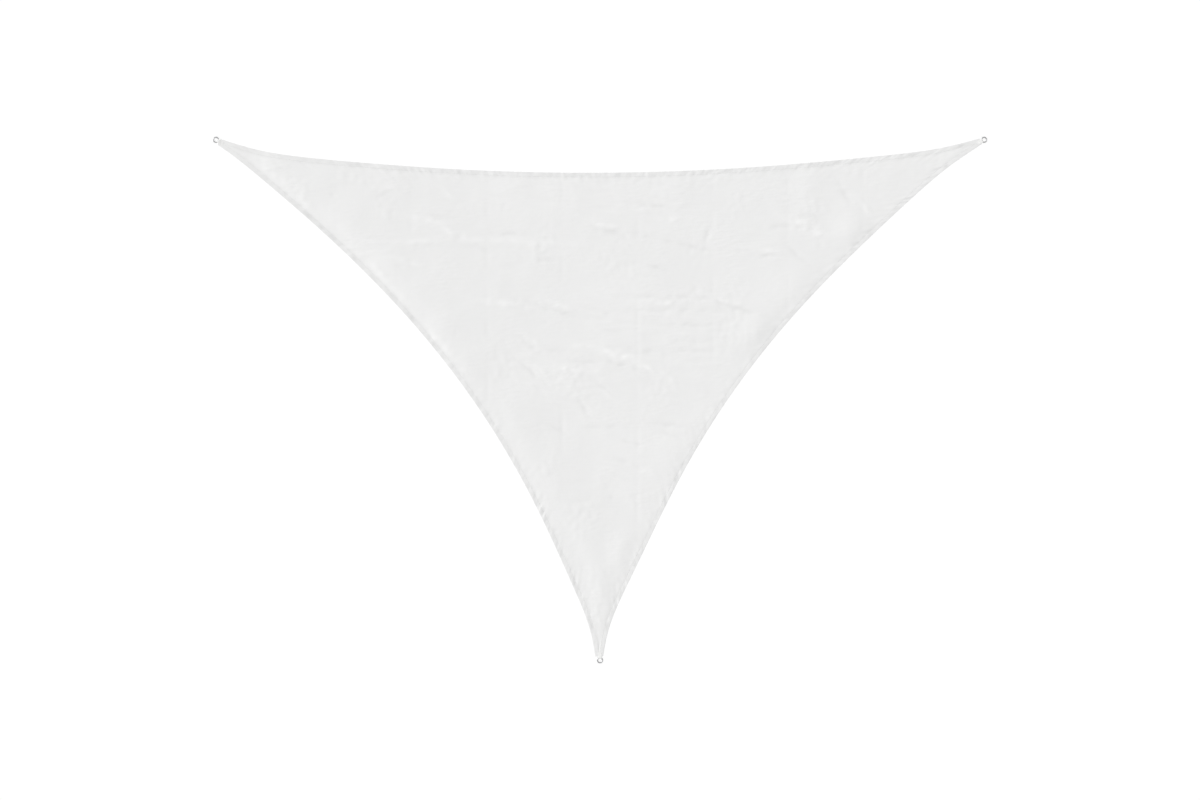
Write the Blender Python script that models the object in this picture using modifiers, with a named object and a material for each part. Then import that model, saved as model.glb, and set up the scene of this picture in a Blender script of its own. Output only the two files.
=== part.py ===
"""A three-cornered shade sail, laid out flat, with a steel ring in a webbing loop at each corner.

Metres, +Z up. +X runs along the long edge, and +Y runs from the far corner towards that edge. The
origin lies on the surface under the middle of the sail.
"""

import math
from collections import namedtuple

import bmesh
import bpy
from mathutils import Matrix, Vector

# Driving dimensions, between the centres of the rings
LONG_SIDE = 5.946
SHORT_SIDE = 5.007
SPAN = math.sqrt(SHORT_SIDE**2 - (LONG_SIDE / 2) ** 2)

# Cloth
CLOTH_THICKNESS = 0.0012
HEM_THICKNESS = 0.0024
HEM_WIDTH = 0.037
HEM_STEP = 0.006  # the fall from the hem to the single cloth
TIP_OVERRUN = 0.055  # the hems would meet this far beyond a ring's centre
TIP_CUT = 0.029  # the cloth ends this far short of a ring's centre
LATTICE_ROWS = 60
NARROWING = 0.60  # hollow edges draw the rows beside them this much closer
EASED_ROW = 8.0  # from here in, the rows are evenly spaced
PANEL_WIDTH = 0.582  # between the creases that packing left, across the sail
PANEL_CROWN = 0.0006

# Rings and webbing
RING_RADIUS = 0.0195  # to the middle of the wire
WIRE_RADIUS = 0.004
RING_SEGMENTS = 36
WIRE_SEGMENTS = 10
WEBBING_WIDTH = 0.025
WEBBING_THICKNESS = 0.0015
WEBBING_REACH = 0.042  # from the wire to the sewn end
WEBBING_COLUMNS = 6
WEBBING_ROWS = 25
WIRE_CLEARANCE = 0.0008
GAP = 0.0003  # between webbing and cloth
LEG_EASE = 0.017  # the upper leg comes down onto the cloth over this length
LEG_SHARE = 0.38  # of the webbing's rows, in each leg
LOOP_RADIUS = WIRE_RADIUS + WIRE_CLEARANCE + WEBBING_THICKNESS / 2
WIRE_HEIGHT = WEBBING_THICKNESS / 2 + LOOP_RADIUS  # of the wire in its loop
RING_HEIGHT = (WIRE_HEIGHT + WIRE_RADIUS) / 2  # of the ring's centre
UPPER_LEG_HEIGHT = 1.5 * WEBBING_THICKNESS + 2 * GAP + HEM_THICKNESS

CORNERS = {
    "left": Vector((-LONG_SIDE / 2, SPAN / 2)),
    "right": Vector((LONG_SIDE / 2, SPAN / 2)),
    "bottom": Vector((0.0, -SPAN / 2)),
}

# Each tip of the cloth runs from its ring into the sail in this direction, in degrees from +X
TIP_TURNS = {"left": -29.0, "right": -152.5, "bottom": 91.0}

# Each edge lies opposite the corner that it is keyed by. It hollows inwards as a parabola, and a
# little more or less towards the corners that it starts and ends at. Each extra is its depth where
# it is greatest, and the share of the edge, from its corner, at which that is.
Edge = namedtuple("Edge", "start end hollow start_extras end_extras")
EDGES = {
    "bottom": Edge(
        start="left",
        end="right",
        hollow=0.261,
        start_extras=((-0.051, 0.034), (0.070, 0.049), (0.030, 0.205)),
        end_extras=((-0.063, 0.031), (0.073, 0.040), (0.015, 0.233)),
    ),
    "left": Edge(
        start="right",
        end="bottom",
        hollow=0.451,
        start_extras=((-0.046, 0.034), (0.055, 0.052), (-0.037, 0.203)),
        end_extras=((-0.055, 0.029), (0.091, 0.047), (-0.024, 0.111)),
    ),
    "right": Edge(
        start="left",
        end="bottom",
        hollow=0.455,
        start_extras=((-0.016, 0.013), (0.003, 0.033), (-0.044, 0.217)),
        end_extras=((-0.078, 0.024), (0.079, 0.034), (-0.007, 0.110)),
    ),
}

# Soft folds, each a long mound about (x, y), running at an angle and falling away on each side
Fold = namedtuple("Fold", "x y turn half_length left_width right_width height")
FOLDS = [
    # a band along the inside of the left edge
    Fold(-2.38, 1.72, -36, 0.30, 0.250, 0.080, 0.0044),
    Fold(-1.91, 1.38, -40, 0.34, 0.300, 0.090, 0.0056),
    Fold(-1.58, 1.02, -45, 0.26, 0.300, 0.085, 0.0052),
    Fold(-1.30, 0.74, -47, 0.22, 0.250, 0.085, 0.0046),
    Fold(-1.19, 0.58, -50, 0.12, 0.160, 0.065, 0.0030),
    Fold(-0.90, 0.06, -55, 0.26, 0.250, 0.090, 0.0022),
    Fold(-0.66, -0.12, -57, 0.15, 0.160, 0.080, 0.0034),
    Fold(-0.42, -0.56, -63, 0.24, 0.180, 0.085, 0.0044),
    Fold(-0.14, -1.03, -67, 0.20, 0.140, 0.075, 0.0036),
    Fold(0.01, -1.50, -80, 0.22, 0.060, 0.055, 0.0032),
    # pulls along the inside of the right edge
    Fold(1.96, 1.32, -138, 0.15, 0.075, 0.110, 0.0056),
    Fold(1.53, 0.90, -136, 0.14, 0.080, 0.100, 0.0026),
    Fold(1.19, 0.53, -132, 0.16, 0.080, 0.120, 0.0060),
    Fold(0.59, -0.40, -122, 0.18, 0.100, 0.100, 0.0026),
    Fold(0.155, -1.19, -110, 0.12, 0.050, 0.055, 0.0030),
    Fold(1.75, 1.10, -137, 0.50, 0.090, 0.400, 0.0010),
    Fold(0.88, 0.05, -127, 0.50, 0.090, 0.400, 0.0012),
    Fold(0.40, -0.75, -116, 0.40, 0.080, 0.300, 0.0012),
    # mounds that stand away from the long edge
    Fold(-1.60, 1.70, 105, 0.18, 0.120, 0.160, 0.0022),
    Fold(-1.20, 1.64, 100, 0.20, 0.140, 0.200, 0.0028),
    Fold(-0.63, 1.64, 82, 0.16, 0.120, 0.090, 0.0028),
    Fold(-0.17, 1.58, 92, 0.13, 0.070, 0.110, 0.0030),
    Fold(0.61, 1.68, 94, 0.17, 0.140, 0.095, 0.0026),
    Fold(1.62, 1.68, 80, 0.22, 0.090, 0.110, 0.0032),
    Fold(2.27, 1.77, 70, 0.12, 0.090, 0.090, 0.0022),
    # creases that fall gently across the middle
    Fold(-1.06, 1.27, -18, 0.35, 0.050, 0.060, 0.0020),
    Fold(-0.66, 0.68, -25, 0.20, 0.050, 0.050, 0.0016),
    Fold(0.30, 0.28, -20, 0.40, 0.050, 0.060, 0.0024),
    Fold(0.75, 0.76, -4, 0.40, 0.060, 0.050, 0.0020),
    Fold(1.66, 1.33, -25, 0.20, 0.045, 0.050, 0.0018),
]

# Slow swells of the whole cloth. What they would press below the surface lies flat on it.
Swell = namedtuple("Swell", "x_length y_length x_phase y_phase height")
SWELLS = [
    Swell(1.90, 1.40, 0.3, 1.1, 0.0007),
    Swell(1.15, 2.30, 2.0, 0.4, 0.0005),
]
SWELL_SINK = 0.0003
TOUCH_SOFTNESS = 0.0012

# Near a ring the cloth lies level on the webbing
TIP_LIFT = WEBBING_THICKNESS + GAP
TIP_LEVEL_REACH = 0.17
TIP_FADE_REACH = 0.42

MATERIALS = {
    "cloth": dict(color=(0.84, 0.84, 0.84, 1.0), roughness=0.88, metallic=0.0),
    "webbing": dict(color=(0.88, 0.88, 0.87, 1.0), roughness=0.75, metallic=0.0),
    "steel": dict(color=(0.52, 0.52, 0.53, 1.0), roughness=0.26, metallic=1.0),
}


def clear_scene():
    for item in list(bpy.data.objects):
        bpy.data.objects.remove(item, do_unlink=True)


def make_material(name):
    values = MATERIALS[name]
    material = bpy.data.materials.new(name)
    material.use_nodes = True
    shader = material.node_tree.nodes["Principled BSDF"]
    shader.inputs["Base Color"].default_value = values["color"]
    shader.inputs["Roughness"].default_value = values["roughness"]
    shader.inputs["Metallic"].default_value = values["metallic"]
    return material


def smooth_step(low, high, value):
    share = min(max((value - low) / (high - low), 0.0), 1.0)
    return share * share * (3.0 - 2.0 * share)


def inward(corner):
    """The level direction from a corner's ring into the sail."""
    turn = math.radians(TIP_TURNS[corner])
    return Vector((math.cos(turn), math.sin(turn)))


def edge_inward(opposite):
    """The level direction square to an edge, towards the corner opposite it."""
    edge = EDGES[opposite]
    along = (CORNERS[edge.end] - CORNERS[edge.start]).normalized()
    square = Vector((-along.y, along.x))
    side = square.dot(CORNERS[opposite] - CORNERS[edge.start])
    return square if side > 0 else -square


def sail_height(opposite):
    edge = EDGES[opposite]
    return edge_inward(opposite).dot(CORNERS[opposite] - CORNERS[edge.start])


def hem_spaced(share, height):
    """Moves the lattice rows beside an edge to the hem's two lines, easing back further in."""
    rows = share * LATTICE_ROWS
    first = HEM_WIDTH / (NARROWING * height) * LATTICE_ROWS
    second = (HEM_WIDTH + HEM_STEP) / (NARROWING * height) * LATTICE_ROWS
    if rows <= 1.0:
        spaced = first * rows
    elif rows <= 2.0:
        spaced = first + (second - first) * (rows - 1.0)
    elif rows <= EASED_ROW:
        spaced = second + (EASED_ROW - second) * (rows - 2.0) / (EASED_ROW - 2.0)
    else:
        spaced = rows
    return spaced / LATTICE_ROWS


def extra_hollow(near, far, extra, reach):
    """An edge's extra hollow where its near and far corners have these shares."""
    power = 1.0 / reach - 1.0
    return extra * far * near**power / (reach * (1.0 - reach) ** power)


def place_flat(shares):
    """Where a point with these shares of the three corners lies in the hollow-edged triangle."""
    total = sum(shares.values())
    shares = {name: share / total for name, share in shares.items()}
    place = Vector((0.0, 0.0))
    for name, share in shares.items():
        place += share * (CORNERS[name] - TIP_OVERRUN * inward(name))
    for opposite, edge in EDGES.items():
        start, end = shares[edge.start], shares[edge.end]
        hollow = 4.0 * edge.hollow * start * end
        hollow += sum(extra_hollow(start, end, *extra) for extra in edge.start_extras)
        hollow += sum(extra_hollow(end, start, *extra) for extra in edge.end_extras)
        place += hollow * edge_inward(opposite)
    return place


def fold_height(fold, place):
    turn = math.radians(fold.turn)
    offset = place - Vector((fold.x, fold.y))
    along = offset.x * math.cos(turn) + offset.y * math.sin(turn)
    aside = offset.y * math.cos(turn) - offset.x * math.sin(turn)
    width = fold.left_width if aside > 0.0 else fold.right_width
    return fold.height * math.exp(-0.5 * ((along / fold.half_length) ** 2 + (aside / width) ** 2))


def swell_height(swell, place):
    across = math.sin(math.tau * place.x / swell.x_length + swell.x_phase)
    along = math.sin(math.tau * place.y / swell.y_length + swell.y_phase)
    return swell.height * across * along


def cloth_height(place):
    """The height of the cloth's underside."""
    panel = place.x / PANEL_WIDTH
    off_middle = 2.0 * (panel - round(panel))
    height = PANEL_CROWN * (1.0 - off_middle * off_middle) - SWELL_SINK
    height += sum(swell_height(swell, place) for swell in SWELLS)
    height += sum(fold_height(fold, place) for fold in FOLDS)
    if height <= 0.0:
        height = 0.0
    elif height < TOUCH_SOFTNESS:
        height = height * height / (2.0 * TOUCH_SOFTNESS)
    else:
        height -= TOUCH_SOFTNESS / 2.0
    nearest = min((place - ring).length for ring in CORNERS.values())
    loose = smooth_step(TIP_LEVEL_REACH, TIP_FADE_REACH, nearest)
    return TIP_LIFT + (height - TIP_LIFT) * loose


def add_object(name, mesh, material, collection):
    item = bpy.data.objects.new(name, mesh)
    collection.objects.link(item)
    mesh.materials.append(material)
    return item


def triangle_shares(place, corner_places):
    """The shares of a flat triangle's three corners that give a point in it."""
    columns = [(corner.x, corner.y, 1.0) for corner in corner_places]
    return Matrix(columns).transposed().inverted() @ Vector((place.x, place.y, 1.0))


def make_cloth(material, collection):
    bm = bmesh.new()
    bmesh.ops.create_circle(bm, cap_ends=True, radius=1.0, segments=3)
    corner_places = [vertex.co.copy() for vertex in bm.verts]
    bmesh.ops.subdivide_edges(bm, edges=bm.edges[:], cuts=LATTICE_ROWS - 1, use_grid_fill=True)
    heights = {name: sail_height(name) for name in CORNERS}
    hem = bm.verts.layers.deform.verify()
    for vertex in bm.verts:
        shares = triangle_shares(vertex.co, corner_places)
        plain = {name: max(share, 0.0) for name, share in zip(CORNERS, shares)}
        spaced = {name: hem_spaced(share, heights[name]) for name, share in plain.items()}
        place = place_flat(spaced)
        vertex.co = (place.x, place.y, cloth_height(place))
        if min(plain.values()) * LATTICE_ROWS < 1.5:
            vertex[hem][0] = 1.0
    for name, ring in CORNERS.items():
        cut = ring + TIP_CUT * inward(name)
        bmesh.ops.bisect_plane(
            bm,
            geom=bm.verts[:] + bm.edges[:] + bm.faces[:],
            dist=1e-6,
            plane_co=(cut.x, cut.y, 0.0),
            plane_no=(-inward(name).x, -inward(name).y, 0.0),
            clear_outer=True,
        )
    bmesh.ops.triangulate(bm, faces=bm.faces[:])
    bmesh.ops.recalc_face_normals(bm, faces=bm.faces[:])
    if sum(face.normal.z for face in bm.faces) < 0.0:
        bmesh.ops.reverse_faces(bm, faces=bm.faces[:])
    mesh = bpy.data.meshes.new("sail_cloth")
    bm.to_mesh(mesh)
    bm.free()
    cloth = add_object("sail_cloth", mesh, material, collection)
    cloth.vertex_groups.new(name="hem")
    thicken = cloth.modifiers.new("thickness", "SOLIDIFY")
    thicken.thickness = HEM_THICKNESS
    thicken.offset = 1.0
    thicken.vertex_group = "hem"
    thicken.thickness_vertex_group = CLOTH_THICKNESS / HEM_THICKNESS
    mesh.shade_smooth()
    return cloth


def place_at_corner(item, corner, offset, height, lean=0.0):
    """Puts a piece made about its own origin at an offset from a ring's centre into the sail."""
    spot = CORNERS[corner] + offset * inward(corner)
    item.location = (spot.x, spot.y, height)
    item.rotation_euler = (0.0, -lean, math.radians(TIP_TURNS[corner]))


def loop_point(across, along):
    """A point of the webbing's middle surface. Along runs 0 to 1 from upper end to lower end."""
    middle_of_wire = math.sqrt(RING_RADIUS**2 - across**2)
    inside_of_wire = math.sqrt((RING_RADIUS - WIRE_RADIUS) ** 2 - across**2)
    setback = RING_RADIUS - middle_of_wire
    reach_round_wire = middle_of_wire - inside_of_wire + LOOP_RADIUS - WIRE_RADIUS
    if along < LEG_SHARE:
        x = WEBBING_REACH * (1.0 - along / LEG_SHARE)
        fall = smooth_step(0.0, LEG_EASE, x)
        z = WIRE_HEIGHT + LOOP_RADIUS + fall * (UPPER_LEG_HEIGHT - WIRE_HEIGHT - LOOP_RADIUS)
    elif along > 1.0 - LEG_SHARE:
        x = WEBBING_REACH * (along - 1.0 + LEG_SHARE) / LEG_SHARE
        z = WEBBING_THICKNESS / 2
    else:
        angle = math.pi * (along - LEG_SHARE) / (1.0 - 2.0 * LEG_SHARE)
        x = -reach_round_wire * math.sin(angle)
        z = WIRE_HEIGHT + LOOP_RADIUS * math.cos(angle)
    x -= setback * (1.0 - smooth_step(0.0, LEG_EASE, x))
    return Vector((x, across, z))


def make_webbing(name, material, collection):
    bm = bmesh.new()
    bmesh.ops.create_grid(bm, x_segments=WEBBING_COLUMNS, y_segments=WEBBING_ROWS, size=0.5)
    for vertex in bm.verts:
        vertex.co = loop_point(vertex.co.x * WEBBING_WIDTH, vertex.co.y + 0.5)
    mesh = bpy.data.meshes.new(name)
    bm.to_mesh(mesh)
    bm.free()
    return add_object(name, mesh, material, collection)


def add_webbing(corner, material, collection):
    webbing = make_webbing(f"webbing_loop_{corner}", material, collection)
    place_at_corner(webbing, corner, RING_RADIUS, 0.0)
    thicken = webbing.modifiers.new("thickness", "SOLIDIFY")
    thicken.thickness = WEBBING_THICKNESS
    thicken.offset = 0.0
    webbing.data.shade_smooth()
    return webbing


def add_ring(corner, material, collection):
    """The ring leans from its place in the webbing loop down to the surface at its far side."""
    bpy.ops.mesh.primitive_torus_add(
        major_radius=RING_RADIUS,
        minor_radius=WIRE_RADIUS,
        major_segments=RING_SEGMENTS,
        minor_segments=WIRE_SEGMENTS,
    )
    ring = bpy.context.object
    ring.name = f"corner_ring_{corner}"
    ring.data.name = ring.name
    ring.data.materials.append(material)
    ring.data.shade_smooth()
    for home in list(ring.users_collection):
        home.objects.unlink(ring)
    collection.objects.link(ring)
    lean = math.asin((WIRE_HEIGHT - WIRE_RADIUS) / (2.0 * RING_RADIUS))
    place_at_corner(ring, corner, RING_RADIUS * (1.0 - math.cos(lean)), RING_HEIGHT, lean)
    return ring


def build():
    clear_scene()
    sail = bpy.data.collections.new("shade_sail")
    bpy.context.scene.collection.children.link(sail)
    cloth, webbing, steel = (make_material(name) for name in MATERIALS)
    make_cloth(cloth, sail)
    for corner in CORNERS:
        add_webbing(corner, webbing, sail)
        add_ring(corner, steel, sail)


build()
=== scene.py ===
# A three-cornered shade sail laid out flat on a pale floor, seen from straight above.
# The cloth is one thin sheet with a turned, stitched hem. A webbing loop at each corner
# holds a round steel ring.

import math
from collections import namedtuple

import bmesh
import bpy
import numpy as np
from mathutils import Matrix, Vector, noise


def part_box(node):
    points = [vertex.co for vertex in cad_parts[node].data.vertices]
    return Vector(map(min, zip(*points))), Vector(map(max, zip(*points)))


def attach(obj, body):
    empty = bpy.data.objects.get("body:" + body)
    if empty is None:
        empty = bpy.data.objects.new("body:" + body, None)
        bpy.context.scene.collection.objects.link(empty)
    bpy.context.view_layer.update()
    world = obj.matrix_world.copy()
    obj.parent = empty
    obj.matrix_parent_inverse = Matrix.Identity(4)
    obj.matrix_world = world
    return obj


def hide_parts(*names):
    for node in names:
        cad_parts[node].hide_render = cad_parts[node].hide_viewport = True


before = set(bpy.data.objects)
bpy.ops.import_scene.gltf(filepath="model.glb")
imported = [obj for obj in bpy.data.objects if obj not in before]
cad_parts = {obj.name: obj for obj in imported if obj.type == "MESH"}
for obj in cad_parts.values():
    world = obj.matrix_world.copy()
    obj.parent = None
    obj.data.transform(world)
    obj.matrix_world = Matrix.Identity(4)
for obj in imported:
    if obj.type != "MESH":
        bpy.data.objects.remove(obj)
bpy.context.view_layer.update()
print("frame loaded:", ", ".join(sorted(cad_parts)))


def smoothStep(low, high, value):
    share = np.clip((value - low) / (high - low), 0.0, 1.0)
    return share * share * (3.0 - 2.0 * share)


def mound(value, middle, width):
    return np.exp(-0.5 * ((value - middle) / width) ** 2)


# The noise patterns that make the cloth uneven: how long their spots are along X and along Y,
# a seed, and the values between which a patch sets in
Pattern = namedtuple("Pattern", "xLength yLength seed low high", defaults=(0.0, 1.0))
patterns = {
    "creaseBendX": Pattern(0.09, 0.09, 67.0),
    "creaseBendY": Pattern(0.09, 0.09, 71.0),
    "creaseFade": Pattern(0.07, 0.07, 83.0),
    "wrinkleBendX": Pattern(0.4, 0.4, 3.0),
    "wrinkleBendY": Pattern(0.5, 0.3, 7.0),
    "wrinkles": Pattern(0.27, 0.066, 11.0),  # they run nearly level
    "wrinklePatches": Pattern(0.55, 0.45, 23.0, -0.25, 0.45),
    "crinkles": Pattern(0.048, 0.048, 31.0),
    "crinklePatches": Pattern(0.3, 0.3, 41.0, 0.0, 0.5),
    "packingUneven": Pattern(0.5, 0.16, 53.0),
    "packingWander": Pattern(0.3, 0.35, 61.0),
    "hemSpots": Pattern(0.040, 0.040, 91.0),
    # along an edge and in from it
    "puckers": Pattern(0.050, 0.055, 100.0),
    "puckerPatches": Pattern(0.25, math.inf, 103.0, -0.3, 0.5),
    "finePuckers": Pattern(0.022, 0.025, 105.0),
}


# One smooth value, from about -1 to 1, for each point
def patternAt(name, x, y, seedShift=0.0):
    pattern = patterns[name]
    seed = pattern.seed + seedShift
    spots = zip(x / pattern.xLength, y / pattern.yLength)
    return np.array([noise.noise(Vector((a, b, seed))) for a, b in spots])


def patchesAt(name, x, y, seedShift=0.0):
    return smoothStep(patterns[name].low, patterns[name].high, patternAt(name, x, y, seedShift))


def addPiece(name, mesh, material):
    piece = bpy.data.objects.new(name, mesh)
    bpy.context.scene.collection.objects.link(piece)
    mesh.materials.append(material)
    return piece


# The corners, read from the rings of the frame
cornerNames = ("left", "right", "bottom")
tipTurns = {"left": -29.0, "right": -152.5, "bottom": 91.0}  # each tip runs this way into the sail


def ringCentre(name):
    low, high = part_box("corner_ring_" + name)
    return np.array([(low.x + high.x) / 2, (low.y + high.y) / 2])


def inwardOf(name):
    turn = math.radians(tipTurns[name])
    return np.array([math.cos(turn), math.sin(turn)])


corners = {name: ringCentre(name) for name in cornerNames}
inwards = {name: inwardOf(name) for name in cornerNames}


# The sail's outline, as in the solid: an edge is keyed by the corner opposite it
sail = {
    "clothThickness": 0.0012,
    "hemThickness": 0.0014,    # along the edges
    "tipThickness": 0.0024,    # where both hems are folded over each other
    "hemWidth": 0.037,
    "hemStep": 0.012,          # the fall from the hem to the single cloth
    "rimShare": 0.8,           # how far up its thickness the cloth's two faces meet
    "rimRound": 0.002,
    "sharpTurn": 50.0,         # the rim and the cut tips turn more than this, in degrees
    "rimJoin": 0.001,          # the underside meets the upper face this close to the rim
    "paintedRimShade": 0.003,          # painted shade at the rim fades over this
    "weldReach": 2e-5,         # the two faces' rims are joined where they are this close
    "deepestDent": 0.75,       # no dent is deeper than this share of the thickness
    "tipOverrun": 0.055,       # past the ring's middle, before the tip is cut
    "tipCut": 0.029,           # this far in from it
    "hemShade": 0.019,         # the painted shade of the hem fades over this
    "panelWidth": 0.582,       # between packing creases
    "panelCrown": 0.0003,
    "swellSink": 0.0003,
    "touchSoftness": 0.0012,   # how softly the cloth comes to rest on the floor
    "tipLift": 0.0018,
    "tipLevelReach": 0.17,     # the folds start this far from a ring,
    "tipFadeReach": 0.42,      # and are whole from here on
    "flatReach": 0.085,        # all lies flat this near to a ring, under the webbing,
    "freeReach": 0.20,         # and puckers and creases are whole from here on
    "topRows": 336,            # rows of the lattice from an edge to its far corner
    "undersideRows": 168,
}

# Each extra hollow near a corner is its depth where it is greatest, and the share of the edge there
Edge = namedtuple("Edge", "start end hollow startExtras endExtras")
edges = {
    "bottom": Edge(
        start="left",
        end="right",
        hollow=0.261,
        startExtras=((-0.051, 0.034), (0.070, 0.049), (0.030, 0.205)),
        endExtras=((-0.063, 0.031), (0.073, 0.040), (0.015, 0.233)),
    ),
    "left": Edge(
        start="right",
        end="bottom",
        hollow=0.451,
        startExtras=((-0.046, 0.034), (0.055, 0.052), (-0.037, 0.203)),
        endExtras=((-0.055, 0.029), (0.091, 0.047), (-0.024, 0.111)),
    ),
    "right": Edge(
        start="left",
        end="bottom",
        hollow=0.455,
        startExtras=((-0.016, 0.013), (0.003, 0.033), (-0.044, 0.217)),
        endExtras=((-0.078, 0.024), (0.079, 0.034), (-0.007, 0.110)),
    ),
}

# Soft folds: long mounds, each falling away on its left and its right, in metres and degrees
Fold = namedtuple("Fold", "x y turn halfLength leftWidth rightWidth height")
folds = [Fold(*values) for values in (
    # a band along the inside of the left edge
    (-2.38, 1.72, -36, 0.30, 0.25, 0.08, 0.0044), (-1.91, 1.38, -40, 0.34, 0.30, 0.09, 0.0056),
    (-1.58, 1.02, -45, 0.26, 0.30, 0.08, 0.0042), (-1.30, 0.72, -47, 0.24, 0.32, 0.08, 0.0034),
    (-1.12, 0.44, -51, 0.20, 0.30, 0.06, 0.0024), (-0.95, 0.16, -54, 0.32, 0.34, 0.09, 0.0032),
    (-0.66, -0.12, -57, 0.13, 0.26, 0.06, 0.0028), (-0.42, -0.56, -63, 0.24, 0.24, 0.085, 0.0036),
    (-0.14, -1.03, -67, 0.20, 0.14, 0.075, 0.0036), (0.01, -1.50, -80, 0.22, 0.06, 0.055, 0.0032),
    # short sharper rises on that band
    (-2.55, 1.80, -34, 0.08, 0.16, 0.036, 0.002), (-2.28, 1.58, -38, 0.10, 0.16, 0.038, 0.0014),
    (-1.99, 1.35, -41, 0.12, 0.18, 0.042, 0.002), (-1.69, 1.00, -45, 0.12, 0.18, 0.038, 0.002),
    (-1.49, 0.79, -46, 0.10, 0.18, 0.042, 0.0014), (-1.25, 0.53, -49, 0.12, 0.18, 0.038, 0.0014),
    # pulls along the inside of the right edge
    (1.96, 1.32, -138, 0.10, 0.055, 0.09, 0.0048), (1.53, 0.90, -136, 0.14, 0.08, 0.10, 0.0026),
    (1.21, 0.55, -132, 0.11, 0.06, 0.09, 0.005), (0.59, -0.40, -122, 0.18, 0.10, 0.10, 0.0026),
    (0.155, -1.19, -110, 0.12, 0.05, 0.055, 0.003), (1.75, 1.10, -137, 0.50, 0.09, 0.40, 0.0005),
    (0.88, 0.05, -127, 0.50, 0.09, 0.40, 0.0006), (0.40, -0.75, -116, 0.40, 0.08, 0.30, 0.0006),
    # mounds that stand away from the long edge
    (-1.60, 1.70, 105, 0.18, 0.12, 0.16, 0.0014), (-1.20, 1.64, 100, 0.20, 0.14, 0.20, 0.0018),
    (-0.63, 1.64, 82, 0.16, 0.12, 0.09, 0.0018), (-0.17, 1.58, 92, 0.13, 0.07, 0.11, 0.0021),
    (0.61, 1.68, 94, 0.17, 0.14, 0.095, 0.0017), (1.62, 1.68, 80, 0.22, 0.09, 0.11, 0.0021),
    (2.27, 1.77, 70, 0.12, 0.09, 0.09, 0.0015),
    # creases that fall gently across the middle
    (-1.06, 1.27, -18, 0.35, 0.05, 0.06, 0.002), (-0.66, 0.68, -25, 0.20, 0.05, 0.05, 0.0016),
    (0.30, 0.28, -20, 0.40, 0.05, 0.06, 0.0024), (0.75, 0.76, -4, 0.40, 0.06, 0.05, 0.002),
    (1.66, 1.33, -25, 0.20, 0.045, 0.05, 0.0018),
)]

Swell = namedtuple("Swell", "xLength yLength xPhase yPhase height")
swells = [
    Swell(1.90, 1.40, 0.3, 1.1, 0.0005),
    Swell(1.15, 2.30, 2.0, 0.4, 0.0005),
]

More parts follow.
